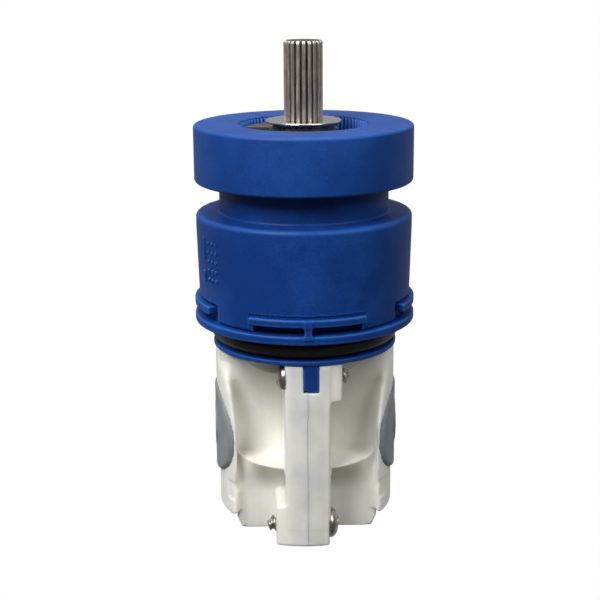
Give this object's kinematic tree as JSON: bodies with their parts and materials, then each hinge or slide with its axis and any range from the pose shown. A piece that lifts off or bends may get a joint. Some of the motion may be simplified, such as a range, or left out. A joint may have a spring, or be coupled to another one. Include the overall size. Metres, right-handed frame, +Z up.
{
  "type": "rotary diverter valve cartridge",
  "caption": "Insert for a diverter valve: splined spindle, toothed collar, blue bayonet housing with O-ring, and a screwed two-half white casing with a grey seal round each side port.",
  "frame": {"origin": "on the spindle's axis, in the plane of the casing's foot, which is the centre of the bounding box's bottom face", "axes": "+Z up the spindle towards its splined end, -Y out of the face with the wide front rib and the offset key, +X and -X out of the two side ports"},
  "size_m": [0.0464, 0.0464, 0.1031],
  "materials": {
    "blue_plastic": "moulded blue plastic with a fine mottled texture",
    "black_rubber": "smooth black nitrile rubber",
    "grey_rubber": "smooth mid-grey rubber",
    "natural_acetal": "off-white natural acetal, slightly translucent, faintly yellowed",
    "black_plastic": "moulded black plastic",
    "white_plastic": "moulded white plastic",
    "ceramic": "lapped alumina",
    "brass": "turned brass",
    "screw_steel": "plated steel, dull",
    "spindle_steel": "bare stainless steel, cut teeth",
    "polished_steel": "polished stainless steel"
  },
  "bodies": {
    "cartridge": {"upper_housing": "blue_plastic", "serrated_collar": "blue_plastic", "lower_housing": "blue_plastic", "body_o_ring": "black_rubber", "spindle_bush": "brass", "limit_stop_ring": "black_plastic", "fixed_disc": "ceramic", "disc_seals": "black_rubber", "casing_gasket": "black_rubber", "casing_left": "natural_acetal", "casing_right": "natural_acetal", "casing_screws": "screw_steel", "port_seal_left": "grey_rubber", "port_seal_right": "grey_rubber", "balance_sleeve": "brass", "sleeve_o_rings": "black_rubber"},
    "spindle_group": {"spindle": "spindle_steel", "spindle_washer": "polished_steel", "stop_plate": "polished_steel", "spindle_o_rings": "black_rubber", "thrust_washer": "white_plastic", "disc_driver": "white_plastic", "moving_disc": "ceramic"},
    "spool": {"balance_spool": "polished_steel"}
  },
  "joints": [
    {"name": "spindle_turn", "type": "hinge", "parent": "cartridge", "child": "spindle_group", "pos_m": [0, 0, 0.06], "axis": [0, 0, 1], "range_deg": [0, 120]},
    {"name": "spool_slide", "type": "slide", "parent": "cartridge", "child": "spool", "axis": [1, 0, 0], "range_m": [-0.0012, 0.0012]}
  ]
}
